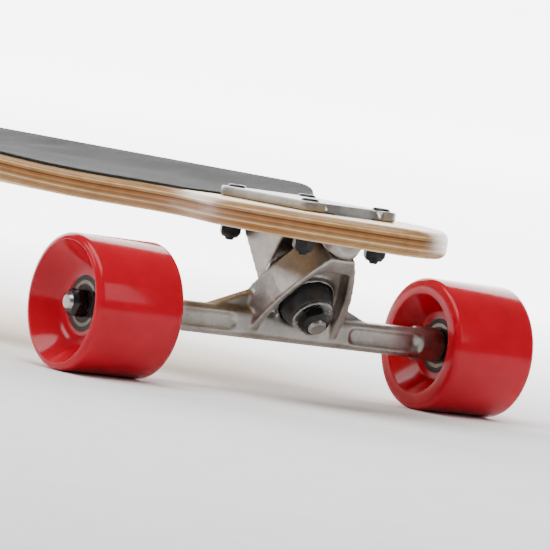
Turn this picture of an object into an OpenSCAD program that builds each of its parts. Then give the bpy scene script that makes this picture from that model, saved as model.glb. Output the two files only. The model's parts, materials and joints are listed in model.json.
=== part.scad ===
// Drop-through longboard skateboard: laminated deck, grip tape, two reverse-kingpin
// trucks and four urethane wheels on 608 bearings.
// Frame: +X runs to the nose, +Y to the left side, +Z up, ground at Z = 0.
// A truck is drawn once, with its own +X pointing to the near end of the deck.

/* [Deck] */
// Length from nose tip to tail tip
deck_len = 980; // [940:2:1120]
// Width across the standing platform
deck_w = 236; // [210:1:260]
// Thickness of the laminated deck
deck_t = 13; // [10:0.5:16]
// Height the rails rise above the flat middle
concave = 7; // [2:0.5:12]
// Width of the flat strip along the middle
flat_w = 114; // [112:1:130]
// Distance between the two truck centres
wheelbase = 788; // [720:2:860]
// Width at the waist beside each truck
waist_w = 94; // [84:1:104]
// Greatest width of the nose and tail
nose_w = 112; // [98:1:112]
// Thickness of the grip tape
grip_t = 1; // [0.8:0.1:1.6]
// Bare margin between grip tape and deck edge
grip_margin = 2.5; // [1:0.5:6]
// Distance from truck centre to the end of the grip tape
grip_stop = 41; // [41:1:70]

/* [Baseplate] */
// Length of the mounting flange
flange_l = 79.5; // [76:0.5:90]
// Width of the mounting flange
flange_w = 54; // [52:0.5:62]
// Thickness of the mounting flange
flange_t = 4.8; // [4:0.2:6]
// Bolt spacing along the board
bolt_x = 63.5; // [63:0.5:64]
// Bolt spacing across the board
bolt_y = 41.3; // [41:0.1:42]
// Diameter of the mounting bolts
bolt_d = 4.8; // [4.5:0.1:5]
// Half width of the body that drops through the deck
body_half = 15; // [14:0.1:15.2]
// Length of the deck opening towards the near end
opening_out = 40.6; // [40:0.1:41]
// Length of the deck opening towards the middle of the board
opening_in = 36.8; // [35:0.1:38]

/* [Truck] */
// Angle of the kingpin below the deck plane
kingpin_angle = 40; // [38:1:44]
// Drop of the axle below the top of the deck
axle_drop = 58; // [57:0.5:62]
// Offset of the axle from the bolt pattern centre
axle_x = -3; // [-4:0.5:0]
// Offset of the kingpin ring from the bolt pattern centre
ring_x = 7.4; // [6:0.1:9]
// Drop of the kingpin ring below the top of the deck
ring_drop = 41.1; // [41:0.1:43]
// Length of the cast hanger between wheel washers
hanger_w = 180; // [170:1:200]
// Diameter of the axle
axle_d = 8; // [7.9:0.1:8.1]
// Length each axle end reaches past the hanger
axle_end = 34.5; // [34:0.5:38]
// Kingpin diameter
kingpin_d = 9.5; // [9:0.1:10]
// Bushing outside diameter
bushing_d = 26; // [24:0.5:26.5]
// Height of the bushing on the deck side
bushing_board_h = 14; // [13:0.5:15]
// Height of the bushing on the road side
bushing_road_h = 12; // [11:0.5:13]

/* [Wheels] */
// Wheel diameter
wheel_d = 65; // [62:0.5:72]
// Wheel width
wheel_w = 48; // [44:0.5:50]
// Radius of the tread edge
edge_r = 3; // [2:0.5:4]
// Radius of the recess in the inner face
face_r = 24.5; // [22:0.5:26]
// Radius of the bowl in the outer face
bowl_r = 29; // [25:0.5:29]
// Bearing outside diameter
bearing_d = 22; // [22:0.1:22]
// Bearing width
bearing_w = 7; // [7:0.1:7]
// Gap between the two bearings of a wheel
spacer_l = 10; // [8:0.5:11]
// Balls in each bearing
ball_count = 7; // [6:1:8]

/* [Hidden] */
$fn = 64;
far = 400;
deck_top = wheel_d / 2 + axle_drop;
half_base = wheelbase / 2;
nose_reach = (deck_len - wheelbase) / 2;

// Outline of the deck, measured from a truck centre towards the near end
taper_start = -185;
waist_at = -45;
nose_at = 8;
nose_power = 1.7;
nose_round = 0.6;
outline_steps = 14;
opening_corner = 1.5;
opening_gap = 0.6;
flange_corner = 6;

// Hanger frame: s runs along the kingpin, t along the steering axis
frame_front = 10;
frame_back = -9;
apex_t = 34.5;
apex_half = 6.8;
foot_t = -20;
foot_half = 25;
frame_wall = 4;
pocket_top = 25;
pocket_floor = 2;
seat_wall = 1.2;
seat_lip = 3.5;
ring_front = 1.5;
ring_back = -3.5;
ring_bore_r = kingpin_d / 2 + 1.7;
seat_r = bushing_d / 2 + 0.6;
beam_r = 8.5;
beam_h = 14.4;
beam_round = 14;
beam_front = 7;
gusset_reach = 51;
gusset_top = 21;
gusset_in = -5;
gusset_t = 8;
gusset_mid = 9;
gusset_sink = 2.5;
beam_pocket_in = 33;
beam_pocket_edge = 2;
beam_pocket_half = 4;
beam_pocket_depth = 1.2;

// Pivot at the top of the steering axis
nose_r = 4.2;
nose_root_r = 5.6;
nose_tip_t = 38;
cup_r = 6.8;
cup_mouth_t = 36;
cup_end_t = 43;
nose_root_l = 6;
nose_root_over = 0.6;
mouth_clearance = 12;
housing_root_x = 21;
housing_root_l = 30;
housing_start_x = 15;
housing_below = 12;
housing_bevel_out = 0.4;
run_gap = 0.06;
pin_gap = 0.05;
bush_gap = 0.1;
housing_r = 10.5;
housing_mouth_t = 35.5;
housing_end_t = 60;
housing_x = 40;
wedge_x = 33;
wedge_gap = 1.5;

// Kingpin stack, measured along the kingpin from the ring
washer_t = 1.5;
washer_r = 12.5;
bush_taper = 2.5;
board_seat = ring_back - bushing_board_h - washer_t;
head_s = board_seat - 12;
head_h = 7;
head_flat = 14.3;
head_pocket_r = 9.2;
head_pocket_l = 26;
arm_length = 120;
arm_draft = 5;
road_washer_s = ring_front + bushing_road_h;
nut_h = 6;
nut_flat = 14.3;
kingpin_end = road_washer_s + washer_t + nut_h + 1.5;
boss_r = 12.5;

// Mounting hardware
head_r = 4.6;
head_t = 1.2;
lock_nut_h = 6.5;
lock_nut_flat = 9.5;
bolt_tail = 1.4;
thread_gap = 0.03;
hole_gap = 0.35;

// Wheel stack, measured along Y from the hanger's end face
speed_washer_t = 1;
core_half = spacer_l / 2 + bearing_w;
wheel_y = hanger_w / 2 + speed_washer_t + core_half;
core_r = 13.4;
core_step_r = 9.6;
ball_r = 1.98;
ball_pitch_r = 7.5;
race_gap = 0.08;
inner_ring_r = 6;
outer_ring_r = 9.2;
shield_t = 0.4;
spacer_r = 5.2;
shield_inset = 0.5;
shield_gap = 0.3;
axle_nut_h = 7;
axle_nut_flat = 12.7;

function across_corners(flat) = flat / cos(30);
function smooth(f) = f * f * (3 - 2 * f);
function mix(a, b, f) = a + (b - a) * f;
function clamp01(f) = min(1, max(0, f));

// Half width of the deck at distance u from the truck centre
function nose_half(u) =
    let (f = clamp01((u - nose_at) / (nose_reach - nose_at)))
    nose_w / 2 * pow(1 - pow(f, nose_power), nose_round);
function neck_half(u) =
    mix(waist_w / 2, nose_w / 2, smooth(clamp01((u - waist_at) / (nose_at - waist_at))));
function shoulder_half(u) =
    mix(deck_w / 2, waist_w / 2, smooth(clamp01((u - taper_start) / (waist_at - taper_start))));
function deck_half(u) =
    u < waist_at ? shoulder_half(u) : u < nose_at ? neck_half(u) : nose_half(u);

// Stations run from the taper to the tip, closer together at the tip
function tip_spread(f) = nose_at + (nose_reach - nose_at) * sin(90 * f);
shoulder_us = [for (i = [0 : outline_steps]) mix(taper_start, waist_at, i / outline_steps)];
neck_us = [for (i = [1 : 5]) mix(waist_at, nose_at, i / 5)];
nose_us = [for (i = [1 : outline_steps]) tip_spread(i / outline_steps)];
deck_us = concat(shoulder_us, neck_us, nose_us);

// One quarter from the middle of the board to the tip, then mirrored round
function mirrored(quarter) =
    concat(
        quarter,
        [for (i = [len(quarter) - 1 : -1 : 0]) [quarter[i][0], -quarter[i][1]]],
        [for (p = quarter) [-p[0], -p[1]]],
        [for (i = [len(quarter) - 1 : -1 : 0]) [-quarter[i][0], quarter[i][1]]]
    );
tip_half = 3;
deck_quarter = [for (u = deck_us) [half_base + u, max(tip_half, deck_half(u))]];

grip_us = concat(
    [for (u = shoulder_us) if (u < -grip_stop - 12) u],
    [-grip_stop - 8, -grip_stop - 2, -grip_stop]
);
grip_corner = 6;
grip_quarter = [
    for (u = grip_us)
        [half_base + u, deck_half(u) - grip_margin - (u == -grip_stop ? grip_corner : 0)]
];

// Height of the concave at distance y from the centre line
function rise(y) =
    let (f = max(0, abs(y) - flat_w / 2) / (deck_w / 2 - flat_w / 2))
    concave * f * f;
section_steps = 6;
rail_ys = [for (i = [0 : section_steps]) mix(flat_w / 2, deck_w / 2 + 1, i / section_steps)];
section_ys = concat([for (i = [section_steps : -1 : 0]) -rail_ys[i]], rail_ys);

// Layer that follows the concave, from height low to height high
module concave_layer(low, high) {
    upper = [for (y = section_ys) [y, rise(y) + high]];
    lower = [for (i = [len(section_ys) - 1 : -1 : 0]) [section_ys[i], rise(section_ys[i]) + low]];
    translate([-deck_len / 2 - 1, 0, 0])
        rotate([90, 0, 90])
            linear_extrude(deck_len + 2)
                polygon(concat(upper, lower));
}

// Places its children on the front or the rear truck, at the top of the deck
module at_truck(end) {
    translate([end * half_base, 0, deck_top])
        rotate([0, 0, end > 0 ? 0 : 180])
            children();
}

// Truck frame turned so that X runs along the kingpin and Z along the steering axis
module steer_frame() {
    translate([ring_x, 0, -ring_drop])
        rotate([0, kingpin_angle, 0])
            children();
}

// Cylinder along the kingpin from s0 to s1
module along_kingpin(s0, s1, r, sides = $fn) {
    translate([s0, 0, 0])
        rotate([0, 90, 0])
            cylinder(r = r, h = s1 - s0, $fn = sides);
}

// Cylinder along Y from y0 to y1
module along_y(y0, y1, r, sides = $fn) {
    translate([0, y0, 0])
        rotate([-90, 0, 0])
            cylinder(r = r, h = y1 - y0, $fn = sides);
}

module at_axle() {
    translate([axle_x, 0, -axle_drop])
        children();
}

module at_bolts() {
    for (sx = [-1, 1], sy = [-1, 1])
        translate([sx * bolt_x / 2, sy * bolt_y / 2, 0])
            children();
}

// Slab with round corners, centred on X and Y, from z0 to z1
module slab(x0, x1, w, z0, z1, r) {
    h = z1 - z0;
    translate([x0 + r, -w / 2, z0])
        cube([x1 - x0 - 2 * r, w, h]);
    translate([x0, -w / 2 + r, z0])
        cube([x1 - x0, w - 2 * r, h]);
    for (x = [x0 + r, x1 - r], y = [-w / 2 + r, w / 2 - r])
        translate([x, y, z0])
            cylinder(r = r, h = h);
}

module deck() {
    color("burlywood")
        difference() {
            translate([0, 0, deck_top])
                intersection() {
                    concave_layer(-deck_t, 0);
                    translate([0, 0, -deck_t - 1])
                        linear_extrude(deck_t + concave + 2)
                            polygon(mirrored(deck_quarter));
                }
            for (end = [-1, 1])
                at_truck(end) {
                    slab(
                        -opening_in, opening_out, 2 * (body_half + opening_gap),
                        -deck_t - 1, 1, opening_corner
                    );
                    at_bolts()
                        translate([0, 0, -deck_t - 1])
                            cylinder(r = bolt_d / 2 + hole_gap, h = deck_t + 2);
                }
        }
}

module grip_tape() {
    color("dimgray")
        translate([0, 0, deck_top])
            intersection() {
                concave_layer(0, grip_t);
                translate([0, 0, -1])
                    linear_extrude(concave + grip_t + 2)
                        polygon(mirrored(grip_quarter));
            }
}

// Side profile of the arm that carries the kingpin
arm_gap = 0.8;
arm_top_z = 0.5;
arm_back_z = -5;
arm_waist_x = -30;
arm_foot_x = -17;
function seat_point(t) = [
    ring_x + board_seat * cos(kingpin_angle) + t * sin(kingpin_angle),
    -ring_drop - board_seat * sin(kingpin_angle) + t * cos(kingpin_angle)
];
arm_low = seat_point(-boss_r);
arm_rise = (-deck_t - seat_point(0)[1]) / cos(kingpin_angle);
arm_high = seat_point(arm_rise);
arm_profile = [
    [-opening_in + arm_gap, arm_top_z],
    [-opening_in + arm_gap, arm_back_z],
    [arm_waist_x, -deck_t],
    [arm_foot_x, arm_low[1]],
    arm_low,
    arm_high,
    [arm_high[0], arm_top_z]
];

module kingpin_arm() {
    intersection() {
        translate([0, body_half, 0])
            rotate([90, 0, 0])
                linear_extrude(2 * body_half)
                    polygon(arm_profile);
        translate([-arm_length / 2, 0, 0])
            rotate([90, 0, 90])
                linear_extrude(arm_length)
                    polygon([
                        [-body_half, 1],
                        [-body_half, -deck_t - 2],
                        [-body_half + arm_draft, arm_low[1] - 1],
                        [body_half - arm_draft, arm_low[1] - 1],
                        [body_half, -deck_t - 2],
                        [body_half, 1]
                    ]);
    }
    steer_frame()
        along_kingpin(board_seat - 7, board_seat, boss_r);
}

// Rounded housing that holds the pivot cup, cut flat where it shows above the deck
module pivot_housing() {
    intersection() {
        union() {
            steer_frame()
                translate([0, 0, housing_mouth_t])
                    cylinder(r = housing_r, h = housing_end_t - housing_mouth_t);
            translate([housing_root_x, -body_half, 0])
                cube([housing_root_l, 2 * body_half, flange_t]);
        }
        translate([housing_start_x, -body_half, -deck_t - housing_below])
            cube([
                housing_x - housing_start_x,
                2 * body_half,
                deck_t + housing_below + flange_t
            ]);
        translate([housing_x + housing_bevel_out, 0, 0])
            rotate([0, kingpin_angle, 0])
                translate([-far, -far, -2 * far])
                    cube([2 * far, 2 * far, 2 * far]);
    }
}

module baseplate(end) {
    color("silver")
        at_truck(end)
            difference() {
                union() {
                    difference() {
                        slab(-flange_l / 2, flange_l / 2, flange_w, 0, flange_t, flange_corner);
                        translate([wedge_x, -body_half - wedge_gap, -1])
                            cube([20, 2 * (body_half + wedge_gap), flange_t + 2]);
                    }
                    kingpin_arm();
                    pivot_housing();
                }
                at_bolts()
                    translate([0, 0, -1])
                        cylinder(r = bolt_d / 2 + hole_gap, h = flange_t + 2);
                steer_frame() {
                    translate([0, 0, housing_mouth_t - mouth_clearance])
                        cylinder(r = cup_r, h = cup_end_t - housing_mouth_t + mouth_clearance);
                    along_kingpin(head_s, board_seat + 1, kingpin_d / 2 + pin_gap);
                    along_kingpin(head_s - head_pocket_l, head_s, head_pocket_r);
                }
            }
}

module pivot_cup(end) {
    color("dimgray")
        at_truck(end)
            steer_frame()
                difference() {
                    translate([0, 0, cup_mouth_t])
                        cylinder(r = cup_r, h = cup_end_t - cup_mouth_t);
                    translate([0, 0, cup_mouth_t - 1])
                        cylinder(r = nose_r + run_gap, h = nose_tip_t - cup_mouth_t + 1);
                    translate([0, 0, nose_tip_t])
                        sphere(r = nose_r + run_gap);
                }
}

module kingpin(end) {
    color("gainsboro")
        at_truck(end)
            steer_frame() {
                along_kingpin(head_s, kingpin_end, kingpin_d / 2);
                along_kingpin(head_s - head_h, head_s, across_corners(head_flat) / 2, 6);
            }
}

// Ring along the kingpin with a hole that fits round it
module kingpin_ring(s0, s1, r, sides = $fn) {
    steer_frame()
        difference() {
            along_kingpin(s0, s1, r, sides);
            along_kingpin(s0 - 1, s1 + 1, kingpin_d / 2 + pin_gap);
        }
}

module kingpin_nut(end) {
    s0 = road_washer_s + washer_t;
    color("black")
        at_truck(end)
            kingpin_ring(s0, s0 + nut_h, across_corners(nut_flat) / 2, 6);
}

module roadside_washer(end) {
    color("silver")
        at_truck(end)
            kingpin_ring(road_washer_s, road_washer_s + washer_t, bushing_d / 2 - bush_taper);
}

module boardside_washer(end) {
    color("silver")
        at_truck(end)
            kingpin_ring(board_seat, board_seat + washer_t, washer_r);
}

// Cone-shaped bushing, narrower at its washer
module roadside_bushing(end) {
    color("black")
        at_truck(end)
            steer_frame()
                rotate([0, 90, 0])
                    rotate_extrude()
                        polygon([
                            [kingpin_d / 2 + bush_gap, ring_front],
                            [bushing_d / 2, ring_front],
                            [bushing_d / 2, ring_front + bushing_road_h / 2],
                            [bushing_d / 2 - bush_taper, road_washer_s],
                            [kingpin_d / 2 + bush_gap, road_washer_s]
                        ]);
}

// Barrel bushing between the baseplate and the hanger
module boardside_bushing(end) {
    color("black")
        at_truck(end)
            kingpin_ring(board_seat + washer_t, ring_back, bushing_d / 2);
}

// Half width of the hanger's frame at height t on the steering axis
function frame_half(t) =
    apex_half + (foot_half - apex_half) * pow(sin(90 * (apex_t - t) / (apex_t - foot_t)), 0.9);
frame_steps = 8;

// Outline of the frame between two heights, drawn in by a wall
module frame_outline(low, high, wall) {
    ts = [for (i = [0 : frame_steps]) mix(high, low, i / frame_steps)];
    right = [for (t = ts) [frame_half(t) - wall, t]];
    left = [for (i = [frame_steps : -1 : 0]) [-right[i][0], right[i][1]]];
    polygon(concat(right, left));
}

// Frame outline extruded along the kingpin from s0 to s1
module frame_slice(s0, s1, low, high, wall) {
    translate([s0, 0, 0])
        rotate([90, 0, 90])
            linear_extrude(s1 - s0)
                frame_outline(low, high, wall);
}

module hanger_frame() {
    difference() {
        frame_slice(frame_back, frame_front, foot_t, apex_t, 0);
        frame_slice(pocket_floor, frame_front + 1, foot_t - 0.5, pocket_top, frame_wall);
        frame_slice(frame_back - 1, ring_back, foot_t + 8, pocket_top, frame_wall);
    }
    along_kingpin(ring_back - seat_lip, ring_front + seat_lip, seat_r + seat_wall);
}

// Seats for both bushings and the hole for the kingpin
module ring_bores() {
    along_kingpin(ring_front, kingpin_end + 20, seat_r);
    along_kingpin(board_seat - 20, ring_back, seat_r);
    along_kingpin(ring_back - 1, ring_front + 1, ring_bore_r);
}

// Round nose that turns in the pivot cup
module pivot_nose() {
    rotate_extrude()
        intersection() {
            union() {
                translate([0, apex_t - nose_root_l])
                    square([nose_root_r, nose_root_l + nose_root_over]);
                translate([0, apex_t])
                    square([nose_r, nose_tip_t - apex_t]);
                translate([0, nose_tip_t])
                    circle(r = nose_r);
            }
            translate([0, apex_t - nose_root_l])
                square([nose_root_r, nose_tip_t]);
        }
}

// Cross beam round the axle, flat on top, below and in front between its round ends
module hanger_beam() {
    flat_end = hanger_w / 2 - beam_round;
    intersection() {
        along_y(-hanger_w / 2, hanger_w / 2, beam_r);
        union() {
            translate([-beam_r, -flat_end, -beam_h / 2])
                cube([beam_r + beam_front, 2 * flat_end, beam_h]);
            for (side = [-1, 1])
                translate([-beam_r, side * (flat_end + beam_round / 2) - beam_round / 2, -beam_r])
                    cube([2 * beam_r, beam_round, 2 * beam_r]);
        }
    }
}

// Long shallow pocket with round ends in the front of the beam
module beam_pocket(side) {
    outer = hanger_w / 2 - beam_round - beam_pocket_edge;
    inner_y = beam_pocket_in + beam_pocket_half;
    outer_y = outer - beam_pocket_half;
    floor_x = beam_front - beam_pocket_depth;
    for (y = [inner_y, outer_y])
        translate([floor_x, side * y, 0])
            rotate([0, 90, 0])
                cylinder(r = beam_pocket_half, h = beam_r);
    translate([floor_x, side > 0 ? inner_y : -outer_y, -beam_pocket_half])
        cube([beam_r, outer_y - inner_y, 2 * beam_pocket_half]);
}

module gussets() {
    translate([gusset_in, 0, 0])
        rotate([90, 0, 90])
            linear_extrude(gusset_t)
                polygon([
                    [-gusset_reach, beam_h / 2 - gusset_sink],
                    [-gusset_mid, gusset_top],
                    [gusset_mid, gusset_top],
                    [gusset_reach, beam_h / 2 - gusset_sink],
                    [gusset_reach, 0],
                    [-gusset_reach, 0]
                ]);
}

module hanger(end) {
    color("silver")
        at_truck(end) {
            difference() {
                union() {
                    steer_frame()
                        hanger_frame();
                    at_axle() {
                        hanger_beam();
                        gussets();
                    }
                }
                steer_frame()
                    ring_bores();
                at_axle() {
                    along_y(-hanger_w / 2 - 1, hanger_w / 2 + 1, axle_d / 2);
                    for (side = [-1, 1])
                        beam_pocket(side);
                }
            }
            steer_frame()
                pivot_nose();
        }
}

module axle(end) {
    color("gainsboro")
        at_truck(end)
            at_axle()
                along_y(-hanger_w / 2 - axle_end, hanger_w / 2 + axle_end, axle_d / 2);
}

// Ring round the axle, from y0 to y1 measured outwards on both sides
module axle_rings(y0, y1, r, bore_r, sides = $fn) {
    at_axle()
        for (side = [-1, 1])
            difference() {
                along_y(side > 0 ? y0 : -y1, side > 0 ? y1 : -y0, r, sides);
                along_y(-far, far, bore_r);
            }
}

module axle_nuts(end) {
    y0 = wheel_y + core_half + speed_washer_t;
    color("dimgray")
        at_truck(end)
            axle_rings(y0, y0 + axle_nut_h, across_corners(axle_nut_flat) / 2, axle_d / 2 + pin_gap, 6);
}

module speed_washers(end) {
    inner = hanger_w / 2;
    outer = wheel_y + core_half;
    color("silver")
        at_truck(end) {
            axle_rings(inner, inner + speed_washer_t, inner_ring_r, axle_d / 2 + pin_gap);
            axle_rings(outer, outer + speed_washer_t, inner_ring_r, axle_d / 2 + pin_gap);
        }
}

module bearing_spacers(end) {
    color("silver")
        at_truck(end)
            axle_rings(wheel_y - spacer_l / 2, wheel_y + spacer_l / 2, spacer_r, axle_d / 2 + pin_gap);
}

// Children are drawn once for each bearing of one wheel, centred on the bearing
module at_bearings() {
    for (place = [-1, 1])
        translate([0, place * (spacer_l + bearing_w) / 2, 0])
            rotate([90, 0, 0])
                children();
}

module at_wheel(end, side) {
    at_truck(end)
        at_axle()
            translate([0, side * end * wheel_y, 0])
                children();
}

// Ring of a bearing with the groove that its balls run in
module race(r0, r1) {
    rotate_extrude()
        difference() {
            translate([r0, -bearing_w / 2])
                square([r1 - r0, bearing_w]);
            translate([ball_pitch_r, 0])
                circle(r = ball_r + race_gap);
        }
}

module bearing_inner_rings(end) {
    color("silver")
        for (side = [-1, 1])
            at_wheel(end, side)
                at_bearings()
                    race(axle_d / 2 + pin_gap, inner_ring_r);
}

module bearing_outer_rings(end, side) {
    color("silver")
        at_wheel(end, side)
            at_bearings()
                race(outer_ring_r, bearing_d / 2);
}

module bearing_shields(end, side) {
    color("black")
        at_wheel(end, side)
            at_bearings()
                for (face = [-1, 1])
                    translate([0, 0, face * (bearing_w / 2 - shield_inset) - shield_t / 2])
                        difference() {
                            cylinder(r = outer_ring_r, h = shield_t);
                            translate([0, 0, -1])
                                cylinder(r = inner_ring_r + shield_gap, h = 3);
                        }
}

module bearing_balls(end, side) {
    color("gainsboro")
        at_wheel(end, side)
            at_bearings()
                for (i = [0 : ball_count - 1])
                    rotate([0, 0, 360 * i / ball_count])
                        translate([ball_pitch_r, 0, 0])
                            sphere(r = ball_r);
}

// Hard core that seats both bearings, with a rib between them
module wheel_core(end, side) {
    color("black")
        at_wheel(end, side)
            rotate([90, 0, 0])
                rotate_extrude()
                    polygon([
                        [core_step_r, -spacer_l / 2],
                        [bearing_d / 2, -spacer_l / 2],
                        [bearing_d / 2, -core_half],
                        [core_r, -core_half],
                        [core_r, core_half],
                        [bearing_d / 2, core_half],
                        [bearing_d / 2, spacer_l / 2],
                        [core_step_r, spacer_l / 2]
                    ]);
}

// Urethane tyre: straight tread, round edges, a conical recess inside and a bowl outside
edge_steps = 4;
bowl_steps = 6;
dish_floor_r = 17;
bowl_floor_r = 15;
function edge_arc(sign) = [
    for (i = [0 : edge_steps])
        let (a = 90 * (sign > 0 ? edge_steps - i : i) / edge_steps)
        [
            wheel_d / 2 - edge_r + edge_r * cos(a),
            sign * (wheel_w / 2 - edge_r + edge_r * sin(a))
        ]
];
function reversed(list) = [for (i = [len(list) - 1 : -1 : 0]) list[i]];
function bowl_point(f) = [
    mix(bowl_r, bowl_floor_r, f),
    mix(wheel_w / 2, core_half, sin(90 * f))
];
wheel_profile = concat(
    [[core_r, -core_half], [dish_floor_r, -core_half], [face_r, -wheel_w / 2]],
    reversed(edge_arc(-1)),
    reversed(edge_arc(1)),
    [for (i = [0 : bowl_steps]) bowl_point(i / bowl_steps)],
    [[core_r, core_half]]
);
module wheel(end, side) {
    outwards = -side * end;
    color("crimson")
        at_wheel(end, side)
            rotate([90, 0, 0])
                rotate_extrude()
                    polygon([for (p = wheel_profile) [p[0], outwards * p[1]]]);
}

module mounting_bolts(end) {
    tip = deck_t + lock_nut_h + bolt_tail;
    color("black")
        at_truck(end)
            at_bolts() {
                translate([0, 0, flange_t])
                    cylinder(r = head_r, h = head_t);
                translate([0, 0, -tip])
                    cylinder(r = bolt_d / 2, h = tip + flange_t);
            }
}

module mounting_nuts(end) {
    color("black")
        at_truck(end)
            at_bolts()
                translate([0, 0, -deck_t - lock_nut_h])
                    difference() {
                        cylinder(r = across_corners(lock_nut_flat) / 2, h = lock_nut_h, $fn = 6);
                        translate([0, 0, -1])
                            cylinder(r = bolt_d / 2 + thread_gap, h = lock_nut_h + 2);
                    }
}

deck();
grip_tape();
baseplate(1);  // front_baseplate
pivot_cup(1);  // front_pivot_cup
kingpin(1);  // front_kingpin
kingpin_nut(1);  // front_kingpin_nut
boardside_bushing(1);  // front_boardside_bushing
roadside_bushing(1);  // front_roadside_bushing
boardside_washer(1);  // front_boardside_washer
roadside_washer(1);  // front_roadside_washer
hanger(1);  // front_hanger
axle(1);  // front_axle
axle_nuts(1);  // front_axle_nuts
speed_washers(1);  // front_speed_washers
bearing_spacers(1);  // front_bearing_spacers
bearing_inner_rings(1);  // front_bearing_inner_rings
mounting_bolts(1);  // front_mounting_bolts
mounting_nuts(1);  // front_mounting_nuts
baseplate(-1);  // rear_baseplate
pivot_cup(-1);  // rear_pivot_cup
kingpin(-1);  // rear_kingpin
kingpin_nut(-1);  // rear_kingpin_nut
boardside_bushing(-1);  // rear_boardside_bushing
roadside_bushing(-1);  // rear_roadside_bushing
boardside_washer(-1);  // rear_boardside_washer
roadside_washer(-1);  // rear_roadside_washer
hanger(-1);  // rear_hanger
axle(-1);  // rear_axle
axle_nuts(-1);  // rear_axle_nuts
speed_washers(-1);  // rear_speed_washers
bearing_spacers(-1);  // rear_bearing_spacers
bearing_inner_rings(-1);  // rear_bearing_inner_rings
mounting_bolts(-1);  // rear_mounting_bolts
mounting_nuts(-1);  // rear_mounting_nuts
wheel(1, 1);  // front_left_wheel
wheel_core(1, 1);  // front_left_wheel_core
bearing_outer_rings(1, 1);  // front_left_bearing_outer_rings
bearing_shields(1, 1);  // front_left_bearing_shields
bearing_balls(1, 1);  // front_left_bearing_balls
wheel(1, -1);  // front_right_wheel
wheel_core(1, -1);  // front_right_wheel_core
bearing_outer_rings(1, -1);  // front_right_bearing_outer_rings
bearing_shields(1, -1);  // front_right_bearing_shields
bearing_balls(1, -1);  // front_right_bearing_balls
wheel(-1, 1);  // rear_left_wheel
wheel_core(-1, 1);  // rear_left_wheel_core
bearing_outer_rings(-1, 1);  // rear_left_bearing_outer_rings
bearing_shields(-1, 1);  // rear_left_bearing_shields
bearing_balls(-1, 1);  // rear_left_bearing_balls
wheel(-1, -1);  // rear_right_wheel
wheel_core(-1, -1);  // rear_right_wheel_core
bearing_outer_rings(-1, -1);  // rear_right_bearing_outer_rings
bearing_shields(-1, -1);  // rear_right_bearing_shields
bearing_balls(-1, -1);  // rear_right_bearing_balls
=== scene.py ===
# %% [markdown]
# # A drop-through longboard
#
# The board is a laminated deck that stands on steering trucks. Each truck hangs through an opening
# in the deck, which is why the deck sits so low between the wheels. This notebook dresses the packed
# CAD model: it loads the model, gives every part a finish, and remakes the parts whose edges a
# camera sees. All lengths are in metres, in the CAD model's own frame.

# %% Load the frame
import json
import math

import bmesh
import bpy
import numpy as np
from mathutils import Matrix, Vector
from mathutils.geometry import delaunay_2d_cdt


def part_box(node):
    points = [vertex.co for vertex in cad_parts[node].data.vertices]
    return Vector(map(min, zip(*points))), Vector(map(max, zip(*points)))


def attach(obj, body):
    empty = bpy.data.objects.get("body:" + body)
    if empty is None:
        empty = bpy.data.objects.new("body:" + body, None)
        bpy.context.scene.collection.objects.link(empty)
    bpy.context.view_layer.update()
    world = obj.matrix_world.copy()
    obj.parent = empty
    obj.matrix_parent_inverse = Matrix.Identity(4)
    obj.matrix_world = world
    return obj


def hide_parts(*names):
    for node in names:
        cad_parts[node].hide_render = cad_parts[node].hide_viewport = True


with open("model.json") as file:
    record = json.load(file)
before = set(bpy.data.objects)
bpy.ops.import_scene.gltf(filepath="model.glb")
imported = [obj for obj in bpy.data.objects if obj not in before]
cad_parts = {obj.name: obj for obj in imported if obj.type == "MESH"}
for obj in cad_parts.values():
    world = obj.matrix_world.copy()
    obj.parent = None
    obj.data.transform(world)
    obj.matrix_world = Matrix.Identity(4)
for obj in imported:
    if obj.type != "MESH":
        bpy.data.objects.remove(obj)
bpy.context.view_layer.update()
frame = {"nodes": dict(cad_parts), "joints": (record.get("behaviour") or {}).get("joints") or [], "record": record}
MM = 0.001
ENDS = {"front": 1, "rear": -1}
SIDES = {"left": 1, "right": -1}

# %% [markdown]
# ## Measures taken from the frame
#
# The deck's top, its thickness and the truck centres come from the boxes of CAD nodes, and a truck's
# axes come from its steering joint. The kingpin lies square to the steering axis, in the board's own
# middle plane. The deck's outline, its openings and the wheels' recesses can't be read from a box.
# Their sizes are written out further down, and have to be changed along with the CAD model's.

# %% Deck measures
def centre_of(node):
    low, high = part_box(node)
    return (Vector(low) + Vector(high)) / 2


deck_low, deck_high = (Vector(corner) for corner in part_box("deck"))
grip_low, grip_high = (Vector(corner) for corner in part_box("grip_tape"))
half_length = deck_high.x
half_width = deck_high.y
half_base = centre_of("front_mounting_bolts").x
deck_top = grip_low.z
deck_thick = deck_top - deck_low.z
rail_rise = deck_high.z - deck_top
print("deck:", round(2 * half_length, 4), "x", round(2 * half_width, 4), "x", round(deck_thick, 4))
print("truck centre:", round(half_base, 4), "rail rise:", round(rail_rise, 4))

# %% Truck axes
joints = {joint["name"]: joint for joint in frame["joints"]}


def truck_axes(end):
    """The ring's centre, the kingpin's direction and the steering axis of one truck."""
    joint = joints[end + "_steer"]
    steer = Vector(joint["axis"]).normalized()
    return Vector(joint["pos_m"]), Vector((0, 1, 0)).cross(steer).normalized(), steer


def reach(node, origin, axis):
    """Where a node starts and ends along an axis, and its greatest radius round it."""
    points = np.array([vertex.co[:] for vertex in frame["nodes"][node].data.vertices])
    offset = points - np.array(origin)
    along = offset @ np.array(axis)
    radius = np.linalg.norm(offset - np.outer(along, np.array(axis)), axis=1)
    return along.min(), along.max(), radius.max()


for end in ENDS:
    ring, kingpin_way, _ = truck_axes(end)
    print(end, "ring", [round(v, 4) for v in ring], "kingpin", [round(v, 3) for v in kingpin_way])

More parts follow.
